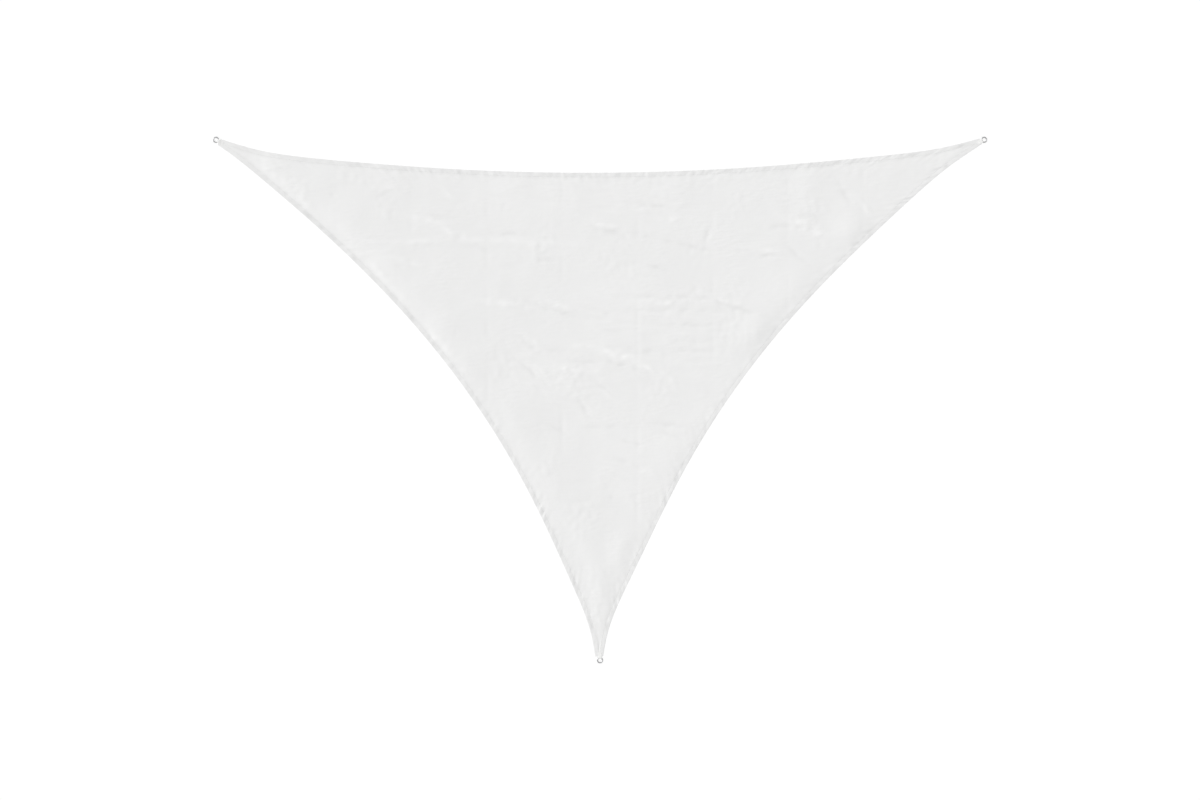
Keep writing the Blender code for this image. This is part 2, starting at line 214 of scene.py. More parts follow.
# Thin creases pressed into the cloth. A height below nothing is a trough.
Crease = namedtuple("Crease", "x y turn halfLength height width", defaults=(0.014,))
creases = [Crease(*values) for values in (
    # a long crease that wanders in from the left edge and runs on level
    (-1.34, 1.39, -10, 0.11, 0.0008, 0.018), (-1.23, 1.42, -5, 0.06, -0.0008),
    (-1.19, 1.33, -42, 0.06, 0.0005, 0.017), (-1.09, 1.28, -16, 0.08, 0.0009, 0.017),
    (-0.66, 1.22, -2, 0.36, 0.0008, 0.018), (-0.68, 1.28, -4, 0.10, -0.0008),
    (-0.94, 1.17, -10, 0.07, -0.0008),
    # light ridges on the band inside the left edge
    (-2.51, 1.73, -34, 0.09, 0.0008, 0.026), (-2.31, 1.53, -38, 0.07, 0.001, 0.026),
    (-1.71, 0.98, -44, 0.08, 0.0011, 0.026), (-1.52, 0.79, -46, 0.07, 0.0006, 0.028),
    (-1.29, 0.50, -49, 0.07, 0.0009, 0.024), (-1.20, 0.40, -51, 0.06, 0.0008, 0.026),
    # short ones left of the middle
    (-1.41, 1.22, 0, 0.14, 0.0007), (-1.45, 1.06, -14, 0.10, 0.0007, 0.015),
    (-1.66, 1.59, 30, 0.05, -0.0009, 0.018), (-1.60, 1.64, 5, 0.07, 0.0007),
    (-1.17, 1.60, -40, 0.06, 0.0006, 0.016), (-0.40, 1.08, 0, 0.08, -0.0008),
    (-0.72, 0.74, -7, 0.11, 0.0012, 0.016), (-0.34, 0.69, -16, 0.15, -0.0012),
    (-0.28, 0.72, -18, 0.08, 0.0008), (-0.54, 0.42, -35, 0.08, -0.001, 0.013),
    (-0.50, 0.45, -38, 0.06, 0.0008, 0.013), (-0.36, 0.38, -10, 0.07, -0.0009),
    (-0.52, 0.21, -40, 0.08, -0.001), (-0.47, 0.24, -38, 0.06, 0.0008, 0.013),
    # the bundle across the middle
    (-0.04, 0.40, -9, 0.10, 0.0011), (0.17, 0.34, -11, 0.11, 0.0013, 0.017),
    (0.31, 0.38, -8, 0.13, -0.0012, 0.013), (0.20, 0.26, -18, 0.12, -0.0012),
    (0.39, 0.24, -24, 0.09, 0.0013, 0.015), (0.52, 0.17, -23, 0.06, 0.001),
    (-0.14, 0.23, -7, 0.14, 0.0009, 0.016), (-0.11, 0.29, -3, 0.09, -0.0009, 0.013),
    (0.04, 0.09, -38, 0.06, -0.001), (0.08, 0.04, -38, 0.06, 0.0009),
    (-0.12, -0.06, -60, 0.06, -0.001), (-0.31, -0.23, -30, 0.06, -0.0009),
    (0.04, -0.21, 0, 0.10, -0.0008, 0.013), (0.26, -0.33, -15, 0.06, -0.001),
    (0.25, -0.50, -22, 0.08, -0.0011), (0.37, -0.56, -20, 0.06, 0.0011, 0.015),
    # long level lines right of the middle
    (0.59, 0.79, -2, 0.28, -0.0007, 0.013), (0.46, 0.75, 0, 0.15, 0.0008, 0.015),
    (0.59, 0.69, 0, 0.28, -0.0007, 0.013), (1.04, 0.72, -17, 0.13, -0.0018),
    (0.99, 0.76, -17, 0.10, 0.0012), (0.68, 0.58, -1, 0.18, -0.0008, 0.015),
    (0.69, 0.38, -3, 0.18, -0.0008), (0.69, 0.46, -2, 0.15, -0.0006),
    (0.57, -0.20, -8, 0.12, -0.001, 0.013), (0.55, -0.27, -16, 0.08, -0.0008, 0.013),
    # below the long edge
    (0.41, 1.50, -7, 0.11, -0.0011), (0.33, 1.47, -10, 0.05, 0.0009),
    (0.07, 1.34, -6, 0.08, 0.001, 0.015), (0.10, 1.29, -18, 0.11, -0.0012),
    (0.35, 1.27, -10, 0.06, -0.0008), (0.56, 1.40, 0, 0.05, 0.0009, 0.015),
    (0.69, 1.19, -12, 0.13, -0.0012, 0.013), (0.46, 1.02, -18, 0.05, -0.0011, 0.013),
    (0.83, 1.26, 80, 0.05, -0.0009, 0.013),
    # towards the right corner
    (1.58, 1.37, -15, 0.10, 0.0009, 0.018), (1.73, 1.28, -8, 0.08, 0.001, 0.018),
    (1.61, 1.42, -8, 0.09, -0.0006), (1.32, 1.15, -5, 0.06, 0.0011, 0.015),
    (1.31, 1.11, -3, 0.09, -0.001), (1.40, 1.34, 0, 0.11, -0.0008),
    (1.53, 1.12, -40, 0.08, -0.0008), (1.90, 1.60, -60, 0.08, -0.0008),
    (2.05, 1.50, -50, 0.07, 0.0008),
    # small dents
    (-2.07, 1.59, 0, 0.014, -0.0005, 0.013), (-1.77, 1.18, 0, 0.014, -0.0006, 0.012),
    (-1.12, 0.51, 0, 0.013, -0.0006, 0.012), (0.06, 0.66, 0, 0.015, -0.0007, 0.012),
    (-0.42, 0.60, 0, 0.013, -0.0006, 0.012), (0.10, -0.59, 0, 0.013, -0.0006, 0.012),
    (0.09, -0.76, 0, 0.013, -0.0005, 0.012), (0.65, 1.58, 0, 0.016, -0.0006, 0.012),
    (0.40, 0.52, 0, 0.015, 0.0005, 0.013),
)]

# Places where the seam draws the hem in. Each is put on the edge nearest to it.
Tuck = namedtuple("Tuck", "x y halfLength depth")
tucks = [Tuck(*values) for values in (
    # the long edge, from the left
    (-2.75, 1.92, 0.06, 0.0009), (-2.32, 1.87, 0.03, 0.0007), (-2.20, 1.86, 0.04, 0.001),
    (-2.07, 1.83, 0.03, 0.0008), (-1.90, 1.82, 0.05, 0.0015), (-1.66, 1.80, 0.04, 0.0007),
    (-1.53, 1.78, 0.04, 0.0009), (-1.23, 1.77, 0.04, 0.0011), (-1.10, 1.76, 0.05, 0.0015),
    (-0.96, 1.74, 0.04, 0.0008), (-0.39, 1.73, 0.08, 0.0006), (-0.25, 1.74, 0.03, 0.0016),
    (-0.12, 1.73, 0.06, 0.0011), (0.14, 1.73, 0.03, 0.0015), (0.25, 1.73, 0.03, 0.0007),
    (0.50, 1.74, 0.04, 0.0007), (0.82, 1.76, 0.05, 0.0006), (0.99, 1.76, 0.06, 0.0011),
    (1.29, 1.78, 0.04, 0.0009), (1.39, 1.79, 0.03, 0.0008), (1.66, 1.82, 0.09, 0.001),
    (1.84, 1.83, 0.03, 0.0024), (2.01, 1.85, 0.06, 0.001), (2.42, 1.89, 0.04, 0.0028),
    (2.79, 1.97, 0.05, 0.0028),
    # the left edge, going down
    (-2.69, 1.79, 0.04, 0.001), (-2.60, 1.72, 0.04, 0.001), (-2.45, 1.62, 0.05, 0.0008),
    (-2.38, 1.54, 0.04, 0.0011), (-2.27, 1.44, 0.06, 0.0026), (-2.16, 1.33, 0.03, 0.0024),
    (-2.07, 1.26, 0.04, 0.0022), (-1.90, 1.08, 0.05, 0.0018), (-1.77, 0.96, 0.04, 0.001),
    (-1.64, 0.81, 0.07, 0.0012), (-1.47, 0.62, 0.05, 0.0018), (-1.30, 0.43, 0.05, 0.0022),
    (-1.12, 0.22, 0.05, 0.001), (-0.95, -0.01, 0.05, 0.001), (-0.85, -0.16, 0.04, 0.0007),
    (-0.76, -0.31, 0.04, 0.0008), (-0.68, -0.43, 0.03, 0.0009), (-0.63, -0.53, 0.03, 0.0009),
    (-0.53, -0.76, 0.04, 0.0011), (-0.39, -0.99, 0.05, 0.0011), (-0.31, -1.16, 0.04, 0.0009),
    (-0.19, -1.42, 0.06, 0.0017), (-0.05, -1.73, 0.05, 0.003),
    # the right edge, going down
    (2.67, 1.82, 0.02, 0.0042), (2.54, 1.71, 0.05, 0.001), (2.23, 1.51, 0.06, 0.0008),
    (2.07, 1.32, 0.05, 0.0028), (1.97, 1.25, 0.03, 0.0012), (1.93, 1.16, 0.03, 0.0012),
    (1.87, 1.11, 0.03, 0.0009), (1.78, 1.01, 0.05, 0.0008), (1.59, 0.83, 0.05, 0.0008),
    (1.45, 0.68, 0.05, 0.0018), (1.35, 0.57, 0.06, 0.0015), (1.22, 0.41, 0.05, 0.001),
    (0.93, 0.00, 0.06, 0.0009), (0.77, -0.28, 0.06, 0.001), (0.57, -0.62, 0.05, 0.0014),
    (0.50, -0.77, 0.04, 0.001), (0.39, -1.01, 0.04, 0.0008), (0.33, -1.09, 0.04, 0.0011),
    (0.15, -1.49, 0.04, 0.0014), (0.08, -1.63, 0.04, 0.0016), (0.05, -1.75, 0.04, 0.0032),
)]

# Distances in from an edge that the lattice's rows keep beside it, two to a plain row
hemLines = [
    0.0, 0.0010, 0.0030, 0.0080, 0.0140, 0.0200, 0.0260, 0.0305, 0.0330, 0.0355, 0.0385, 0.0430, 0.0500,
]
lastRow = (len(hemLines) - 1) / 2
easedRow = 18.0  # from here in, the rows are evenly spaced
stitchLine = 0.033


def column(shares, name):
    return shares[:, cornerNames.index(name)]


def edgeInward(opposite):
    edge = edges[opposite]
    along = corners[edge.end] - corners[edge.start]
    square = np.array([-along[1], along[0]]) / np.linalg.norm(along)
    return square if square @ (corners[opposite] - corners[edge.start]) > 0 else -square


def extraHollow(near, far, extra, reach):
    power = 1.0 / reach - 1.0
    return extra * far * near**power / (reach * (1.0 - reach) ** power)


# Where points with these shares of the three corners lie, seen from above
def flatPlace(shares):
    shares = shares / shares.sum(axis=1, keepdims=True)
    place = np.zeros((len(shares), 2))
    for name in cornerNames:
        place += column(shares, name)[:, None] * (corners[name] - sail["tipOverrun"] * inwards[name])
    for opposite, edge in edges.items():
        start, end = column(shares, edge.start), column(shares, edge.end)
        hollow = 4.0 * edge.hollow * start * end
        hollow += sum(extraHollow(start, end, *extra) for extra in edge.startExtras)
        hollow += sum(extraHollow(end, start, *extra) for extra in edge.endExtras)
        place += hollow[:, None] * edgeInward(opposite)
    return place


# Along one edge: its points, its length so far, and how far in a whole share would reach
def measureEdge(opposite, steps=600, inset=0.002):
    edge = edges[opposite]
    along = np.linspace(0.0, 1.0, steps)
    shares = np.zeros((steps, 3))
    shares[:, cornerNames.index(edge.start)] = 1.0 - along
    shares[:, cornerNames.index(edge.end)] = along
    rim = flatPlace(shares)
    inner = shares * (1.0 - inset)
    inner[:, cornerNames.index(opposite)] = inset
    tangent = np.gradient(rim, axis=0)
    tangent /= np.linalg.norm(tangent, axis=1, keepdims=True)
    step = flatPlace(inner) - rim
    width = np.abs(tangent[:, 0] * step[:, 1] - tangent[:, 1] * step[:, 0]) / inset
    length = np.concatenate([[0.0], np.cumsum(np.linalg.norm(np.diff(rim, axis=0), axis=1))])
    return {"along": along, "rim": rim, "width": width, "length": length}


measured = {opposite: measureEdge(opposite) for opposite in edges}


def alongEdge(shares, opposite):
    edge = edges[opposite]
    start, end = column(shares, edge.start), column(shares, edge.end)
    return end / np.maximum(start + end, 1e-9)


# How far each point lies in from each edge, and how far along it, in metres
def edgeDistances(shares):
    total = shares.sum(axis=1)
    found = {}
    for opposite, edge in measured.items():
        along = alongEdge(shares, opposite)
        width = np.interp(along, edge["along"], edge["width"])
        length = np.interp(along, edge["along"], edge["length"])
        found[opposite] = (column(shares, opposite) / total * width, length)
    return found


# Moves the lattice rows beside each edge to the hem's lines, easing back further in
def spacedShares(shares):
    spaced = shares.copy()
    rows = sail["topRows"]
    for opposite, edge in measured.items():
        plain = column(shares, opposite)
        row = plain * rows
        width = np.interp(alongEdge(shares, opposite), edge["along"], edge["width"])
        lineShare = np.interp(2.0 * row, range(len(hemLines)), hemLines) / width
        lastShare = hemLines[-1] / width
        easing = lastShare + (easedRow / rows - lastShare) * (row - lastRow) / (easedRow - lastRow)
        moved = np.where(row <= lastRow, lineShare, np.where(row < easedRow, easing, plain))
        spaced[:, cornerNames.index(opposite)] = moved
    return spaced


def foldHeight(fold, x, y):
    turn = math.radians(fold.turn)
    along = (x - fold.x) * math.cos(turn) + (y - fold.y) * math.sin(turn)
    aside = (y - fold.y) * math.cos(turn) - (x - fold.x) * math.sin(turn)
    width = np.where(aside > 0.0, fold.leftWidth, fold.rightWidth)
    return fold.height * np.exp(-0.5 * ((along / fold.halfLength) ** 2 + (aside / width) ** 2))


def ringDistance(x, y):
    return np.min([np.hypot(x - corner[0], y - corner[1]) for corner in corners.values()], axis=0)


# The underside of the solid's cloth: its folds, swells and panels, level near the rings
def softHeight(x, y):
    panel = x / sail["panelWidth"]
    offMiddle = 2.0 * (panel - np.round(panel))
    height = sail["panelCrown"] * (1.0 - offMiddle**2) - sail["swellSink"]
    for swell in swells:
        across = np.sin(math.tau * x / swell.xLength + swell.xPhase)
        height += swell.height * across * np.sin(math.tau * y / swell.yLength + swell.yPhase)
    for fold in folds:
        height += foldHeight(fold, x, y)
    soft = sail["touchSoftness"]
    height = np.where(height < soft, np.maximum(height, 0.0) ** 2 / (2.0 * soft), height - soft / 2.0)
    loose = smoothStep(sail["tipLevelReach"], sail["tipFadeReach"], ringDistance(x, y))
    return sail["tipLift"] + (height - sail["tipLift"]) * loose


crumple = {
    "lift": 0.0011,          # the crumpled cloth stands this much higher
    "rimStart": 0.03,        # it starts this far in from the rim,
    "rimEnd": 0.10,          # and is whole from here on
    "creaseSize": 1.4,       # of the creases in the list above
    "creaseBend": 0.012,     # how far they wander from a straight line
    "creaseMean": 0.9,       # their height fades and swells round this share
    "creaseFade": 1.3,
    "faintest": 0.2,
    "boldest": 1.4,
    "paintedShadingHeight": 0.0010,    # a ridge this high gets the finish's full painted highlight, and a trough this deep its painted shade
    "wrinkleHeight": 0.00110,
    "wrinkleBendX": 0.05,
    "wrinkleBendY": 0.04,
    "wrinkleFall": 0.14,     # for each metre to the right
    "wrinklePaintedShading": 0.4,
    "middlePlace": (0.25, 0.45),  # the wrinkles are tallest here
    "middleReach": (1.1, 0.85),
    "middleGain": 0.45,
    "crinkleHeight": 0.00105,
    "cornerCrinkle": (0.3, 0.9),  # full this near to a ring, and patchy from here on
    "smoothPlace": (-1.03, 0.90),  # round here the cloth lies smooth
    "smoothReach": 0.24,
    "packingDepth": 0.0006,  # of the creases that packing left
    "packingWidth": 0.013,
    "packingMean": 0.25,
    "packingUneven": 1.5,
    "packingWander": 0.006,
}


# The listed creases, each wandering from a straight line and fading here and there
def creaseHeight(x, y):
    bentX = x + crumple["creaseBend"] * patternAt("creaseBendX", x, y)
    bentY = y + crumple["creaseBend"] * patternAt("creaseBendY", x, y)
    height = np.zeros_like(x)
    for crease in creases:
        size = crumple["creaseSize"] * crease.height
        height += foldHeight(Fold(*crease[:4], crease.width, crease.width, size), bentX, bentY)
    fade = crumple["creaseMean"] + crumple["creaseFade"] * patternAt("creaseFade", x, y)
    return height * np.clip(fade, crumple["faintest"], crumple["boldest"])


# How crumpled the cloth is, from none at its smooth place to fully, further off
def crumpledShare(x, y):
    middle = crumple["smoothPlace"]
    return 1.0 - mound(np.hypot(x - middle[0], y - middle[1]), 0.0, crumple["smoothReach"])


# Wrinkles that run nearly level, most of all across the middle
def wrinkleHeight(x, y):
    bentX = x + crumple["wrinkleBendX"] * patternAt("wrinkleBendX", x, y)
    bentY = y + crumple["wrinkleFall"] * x + crumple["wrinkleBendY"] * patternAt("wrinkleBendY", x, y)
    ridged = 1.0 - 2.0 * np.abs(patternAt("wrinkles", bentX, bentY))
    (middleX, middleY), (reachX, reachY) = crumple["middlePlace"], crumple["middleReach"]
    gain = crumple["middleGain"]
    middle = 1.0 - gain + gain * mound(x, middleX, reachX) * mound(y, middleY, reachY)
    patchy = patchesAt("wrinklePatches", x, y)
    return crumple["wrinkleHeight"] * ridged * patchy * middle * crumpledShare(x, y)


# Small crinkles in patches, and everywhere near the corners
def crinkleHeight(x, y):
    nearCorner = 1.0 - smoothStep(*crumple["cornerCrinkle"], ringDistance(x, y))
    patchy = np.maximum(patchesAt("crinklePatches", x, y), nearCorner)
    return crumple["crinkleHeight"] * patternAt("crinkles", x, y) * patchy * crumpledShare(x, y)


# The upright creases that packing left, one to a panel
def packingDepth(x, y):
    panel = x / sail["panelWidth"]
    offCrease = (panel - np.floor(panel) - 0.5) * sail["panelWidth"]
    uneven = crumple["packingMean"] + crumple["packingUneven"] * patternAt("packingUneven", x, y)
    wander = crumple["packingWander"] * patternAt("packingWander", x, y)
    depth = crumple["packingDepth"] * np.maximum(uneven, 0.0)
    return depth * mound(offCrease, wander, crumple["packingWidth"])


def crumpleHeight(x, y):
    return creaseHeight(x, y) + wrinkleHeight(x, y) + crinkleHeight(x, y) - packingDepth(x, y)


hem = {
    "reach": 0.25,           # in from the rim, past which no pucker shows
    "grooveDepth": 0.00012,  # along the stitches
    "grooveWidth": 0.0035,
    "puckerHeight": 0.0022,
    "puckerLimit": 0.34,     # no pucker is taller than this share of the height
    "puckerReach": 0.085,    # in from the rim
    "calmSize": 0.6,         # of the puckers where the hem is calm
    "busyGain": 0.6,
    "endShare": 0.4,         # of the puckers' size, near the corners
    "endReach": (0.25, 0.8),  # along the edge, where they grow to their full size
    "finePuckerHeight": 0.0010,
    "finePuckerLine": 0.020,  # in from the rim
    "finePuckerWidth": 0.018,
    "tuckShare": 0.3,        # of a tuck's depth that shows as a hollow
    "tuckWidth": 0.010,
    "tuckShadeDepth": 0.0010,  # a tuck this deep gets twice the hem's painted shade
    "tuckShadeLength": 0.6,  # as a share of the tuck's half length
    "tuckShadeWidth": 0.009,
    "tuckShadeReach": 0.25,
    "spotShade": 1.2,        # of the painted shade in spots along the hem
    "spotLimit": 0.42,
}


# The edge that a tuck is on, and its place among the edge's measured points
def tuckPlace(tuck):
    gaps = {name: np.hypot(*(edge["rim"] - (tuck.x, tuck.y)).T) for name, edge in measured.items()}
    nearest = min(gaps, key=lambda name: gaps[name].min())
    return nearest, gaps[nearest].argmin()


# How deep the seam is drawn in along one edge, from the tucks on it
def tuckDepth(opposite, length):
    depth = np.zeros_like(length)
    for tuck in tucks:
        nearest, spot = tuckPlace(tuck)
        if nearest == opposite:
            depth += tuck.depth * mound(length, measured[opposite]["length"][spot], tuck.halfLength)
    return depth


# Puckers across the hem, the groove that the stitches draw, and the hollows at the tucks
def hemHeight(opposite, distance, length):
    seedShift = 10.0 * cornerNames.index(opposite)
    near = distance < hem["reach"]
    height = np.zeros_like(distance)
    far, run = distance[near], length[near]
    limit = hem["puckerLimit"]
    pucker = np.clip(patternAt("puckers", run, far, seedShift), -limit, limit)
    fine = np.clip(patternAt("finePuckers", run, far, seedShift), -limit, limit)
    size = hem["calmSize"] + hem["busyGain"] * patchesAt("puckerPatches", run, far, seedShift)
    ends = np.minimum(run, measured[opposite]["length"][-1] - run)
    size *= hem["endShare"] + (1.0 - hem["endShare"]) * smoothStep(*hem["endReach"], ends)
    fineBand = mound(far, hem["finePuckerLine"], hem["finePuckerWidth"])
    raised = hem["puckerHeight"] * pucker * size * np.exp(-((far / hem["puckerReach"]) ** 2))
    raised += hem["finePuckerHeight"] * fine * size * fineBand
    raised -= hem["grooveDepth"] * mound(far, stitchLine, hem["grooveWidth"])
    raised -= hem["tuckShare"] * tuckDepth(opposite, run) * mound(far, stitchLine, hem["tuckWidth"])
    height[near] = raised
    return height


# Points of the sail's upper face or its underside, and how far in from the rim they lie
def sailPoints(shares, underside=False):
    place = flatPlace(shares)
    x, y = place[:, 0], place[:, 1]
    distances = edgeDistances(shares)
    inset = np.min([distance for distance, _ in distances.values()], axis=0)
    freed = smoothStep(sail["flatReach"], sail["freeReach"], ringDistance(x, y))
    lift = crumple["lift"] * freed
    height = softHeight(x, y)
    fall = smoothStep(sail["hemWidth"], sail["hemWidth"] + sail["hemStep"], inset)
    thickness = sail["tipThickness"] + (sail["hemThickness"] - sail["tipThickness"]) * freed
    thickness += (sail["clothThickness"] - thickness) * fall
    detail = sum(hemHeight(opposite, *distance) for opposite, distance in distances.items())
    if not underside:
        detail += crumpleHeight(x, y) * smoothStep(crumple["rimStart"], crumple["rimEnd"], inset)
    raised = lift + np.maximum(detail, -sail["deepestDent"] * thickness - lift) * freed
    if underside:
        height += (sail["rimShare"] * thickness + raised) * (1.0 - smoothStep(0.0, sail["rimJoin"], inset))
    else:
        rounded = np.sqrt(np.clip(inset / sail["rimRound"], 0.0, 1.0))
        height += thickness * (sail["rimShare"] + (1.0 - sail["rimShare"]) * rounded) + raised
    return np.column_stack([x, y, height]), inset


# Adds one face of the sail, as a triangle of rows that is bent to the sail's outline
def addLattice(bm, rows, underside):
    part = bmesh.new()
    bmesh.ops.create_circle(part, cap_ends=True, radius=1.0, segments=3)
    flatCorners = np.array([vertex.co[:] for vertex in part.verts])
    flatCorners[:, 2] = 1.0
    bmesh.ops.subdivide_edges(part, edges=part.edges[:], cuts=rows - 1, use_grid_fill=True)
    toShares = np.linalg.inv(flatCorners.T)

    def sharesOf(verts):
        flat = np.array([vertex.co[:] for vertex in verts])
        flat[:, 2] = 1.0
        return np.maximum(flat @ toShares.T, 0.0)

    if underside:
        rim = [edge for edge in part.edges if edge.is_boundary]
        bmesh.ops.subdivide_edges(part, edges=rim, cuts=2 * sail["topRows"] // rows - 1)
    else:
        nearRim = sharesOf(part.verts).min(axis=1) * rows < lastRow - 0.5
        part.verts.index_update()
        fine = [edge for edge in part.edges if any(nearRim[vertex.index] for vertex in edge.verts)]
        bmesh.ops.subdivide_edges(part, edges=fine, cuts=1, use_grid_fill=True)
    points, _ = sailPoints(spacedShares(sharesOf(part.verts)), underside)
    for vertex, point in zip(part.verts, points):
        vertex.co = point
    bmesh.ops.recalc_face_normals(part, faces=part.faces[:])
    up = sum(face.normal.z for face in part.faces) > 0.0
    if up == underside:
        bmesh.ops.reverse_faces(part, faces=part.faces[:])
    mesh = bpy.data.meshes.new("half")
    part.to_mesh(mesh)
    part.free()
    bm.from_mesh(mesh)
    bpy.data.meshes.remove(mesh)


def cutTips(bm):
    for name, ring in corners.items():
        cut = ring + sail["tipCut"] * inwards[name]
        bmesh.ops.bisect_plane(
            bm,
            geom=bm.verts[:] + bm.edges[:] + bm.faces[:],
            dist=1e-6,
            plane_co=(cut[0], cut[1], 0.0),
            plane_no=(-inwards[name][0], -inwards[name][1], 0.0),
            clear_outer=True,
        )


# How far in from the rim each point lies, by the nearest stretch of any edge's line
def rimInsets(places, reach=0.10):
    inset = np.full(len(places), np.inf)
    for edge in measured.values():
        rim = edge["rim"][::2]
        for first, last in zip(rim[:-1], rim[1:]):
            near = np.where((np.abs(places - (first + last) / 2) < reach).all(axis=1))[0]
            if len(near):
                span = last - first
                share = np.clip(((places[near] - first) @ span) / (span @ span), 0.0, 1.0)
                gap = np.hypot(*(places[near] - first - share[:, None] * span).T)
                inset[near] = np.minimum(inset[near], gap)
    return inset


# Painted shade at the hem's tucks, where the folded cloth would shade itself, as a share of its band
def tuckShade(places):
    shade = np.zeros(len(places))
    for tuck in tucks:
        near = np.hypot(*(places - (tuck.x, tuck.y)).T) < hem["tuckShadeReach"]
        opposite, spot = tuckPlace(tuck)
        rim = measured[opposite]["rim"]
        run = (rim[spot + 1] - rim[spot - 1]) / np.linalg.norm(rim[spot + 1] - rim[spot - 1])
        offset = places[near] - rim[spot]
        along, aside = offset @ run, np.abs(offset @ (-run[1], run[0]))
        lengthwise = mound(along, 0.0, tuck.halfLength * hem["tuckShadeLength"])
        crosswise = mound(aside, sail["hemWidth"] / 2, hem["tuckShadeWidth"])
        shade[near] += tuck.depth / hem["tuckShadeDepth"] * lengthwise * crosswise
    return shade


def storeValues(mesh, name, values):
    mesh.attributes.new(name, "FLOAT", "POINT").data.foreach_set("value", values)


def makeSailCloth(material):
    bm = bmesh.new()
    addLattice(bm, sail["topRows"], underside=False)
    addLattice(bm, sail["undersideRows"], underside=True)
    cutTips(bm)
    rim = [vertex for vertex in bm.verts if vertex.is_boundary]
    bmesh.ops.remove_doubles(bm, verts=rim, dist=sail["weldReach"])
    bmesh.ops.holes_fill(bm, edges=[edge for edge in bm.edges if edge.is_boundary], sides=0)
    bmesh.ops.triangulate(bm, faces=bm.faces[:])
    mesh = bpy.data.meshes.new("sail_cloth_sewn")
    bm.to_mesh(mesh)
    openEdges = sum(edge.is_boundary or not edge.is_manifold for edge in bm.edges)
    bm.free()
    places = np.array([vertex.co[:2] for vertex in mesh.vertices])
    x, y = places.T
    inset = rimInsets(places)
    # Painted shade on the hem band, in uneven spots, and darker still at the tucks
    band = 1.0 - smoothStep(sail["hemWidth"], sail["hemWidth"] + sail["hemShade"], inset)
    limit = hem["spotLimit"]
    spots = np.clip(patternAt("hemSpots", x, y), -limit, limit)
    # Painted highlight on crease ridges and painted shade in their troughs
    creaseShading = (creaseHeight(x, y) + crumple["wrinklePaintedShading"] * wrinkleHeight(x, y)) / crumple["paintedShadingHeight"]
    storeValues(mesh, "paintedHemShade", band * (1.0 + hem["spotShade"] * spots) + tuckShade(places))
    storeValues(mesh, "paintedCreaseShading", creaseShading)
    # Painted shade along the rim
    storeValues(mesh, "paintedRimShade", np.exp(-inset / sail["paintedRimShade"]))
    mesh.shade_smooth()
    mesh.set_sharp_from_angle(angle=math.radians(sail["sharpTurn"]))
    print("sail cloth:", len(mesh.polygons), "triangles,", openEdges, "open edges")
    return addPiece("sail_cloth_sewn", mesh, material)


thread = {
    "pitch": 0.0062,      # from one stitch to the next
    "length": 0.0046,
    "width": 0.0009,
    "height": 0.0008,
    "segments": 6,
    "rings": 4,
    "startAfter": 0.085,  # the seam starts this far from a ring's centre
    "slopeReach": 0.004,  # the cloth's slope is read this far to each side
}


# A face's corners from its lowest one on, so that they come out the same each time
def fromLowest(face):
    indices = [vertex.index for vertex in face.verts]
    first = indices.index(min(indices))
    return indices[first:] + indices[:first]


# One stitch as a small grain that lies along X
def stitchTemplate(length):
    bm = bmesh.new()
    bmesh.ops.create_uvsphere(bm, u_segments=thread["segments"], v_segments=thread["rings"], radius=0.5)
    bmesh.ops.transform(bm, matrix=Matrix.Rotation(math.pi / 2, 4, "Y"), verts=bm.verts[:])
    points = np.array([vertex.co[:] for vertex in bm.verts])
    faces = sorted(fromLowest(face) for face in bm.faces)
    bm.free()
    return points * (length, thread["width"], thread["height"]), faces


# One joined mesh of stitches, each lying along its own direction
def stitchesAlong(name, length, middles, alongs, ups, material):
    points, faces = stitchTemplate(length)
    alongs = alongs / np.linalg.norm(alongs, axis=1, keepdims=True)
    asides = np.cross(ups, alongs)
    asides /= np.linalg.norm(asides, axis=1, keepdims=True)
    ups = np.cross(alongs, asides)
    placed = middles[:, None, :] + sum(
        points[None, :, [i]] * axis[:, None, :] for i, axis in enumerate((alongs, asides, ups))
    )
    starts = range(0, len(middles) * len(points), len(points))
    allFaces = [[start + corner for corner in face] for start in starts for face in faces]
    mesh = bpy.data.meshes.new(name)
    mesh.from_pydata(placed.reshape(-1, 3), [], allFaces)
    mesh.shade_smooth()
    return addPiece(name, mesh, material)


def seamShares(opposite, along, distance):
    edge, measure = edges[opposite], measured[opposite]
    share = distance / np.interp(along, measure["along"], measure["width"])
    shares = np.zeros((len(along), 3))
    shares[:, cornerNames.index(opposite)] = share
    shares[:, cornerNames.index(edge.start)] = (1.0 - share) * (1.0 - along)
    shares[:, cornerNames.index(edge.end)] = (1.0 - share) * along
    return shares


def makeHemStitches(opposite, material):
    measure = measured[opposite]
    count = int(measure["length"][-1] / thread["pitch"])
    lengths = (np.arange(count) + 0.5) * thread["pitch"]
    reach = thread["length"] / 2

    def pointsAt(shift, distance=stitchLine):
        along = np.interp(lengths + shift, measure["length"], measure["along"])
        return sailPoints(seamShares(opposite, along, distance))[0]

    middles, before, after = pointsAt(0.0), pointsAt(-reach), pointsAt(reach)
    alongs = after - before
    span = thread["slopeReach"]
    asides = pointsAt(0.0, stitchLine + span) - pointsAt(0.0, stitchLine - span)
    ups = np.cross(alongs, asides)
    ups *= np.sign(ups[:, 2:])
    kept = ringDistance(middles[:, 0], middles[:, 1]) > thread["startAfter"]
    name = {"bottom": "hem_thread_long", "right": "hem_thread_left", "left": "hem_thread_right"}[opposite]
    return stitchesAlong(name, thread["length"], middles[kept], alongs[kept], ups[kept], material)


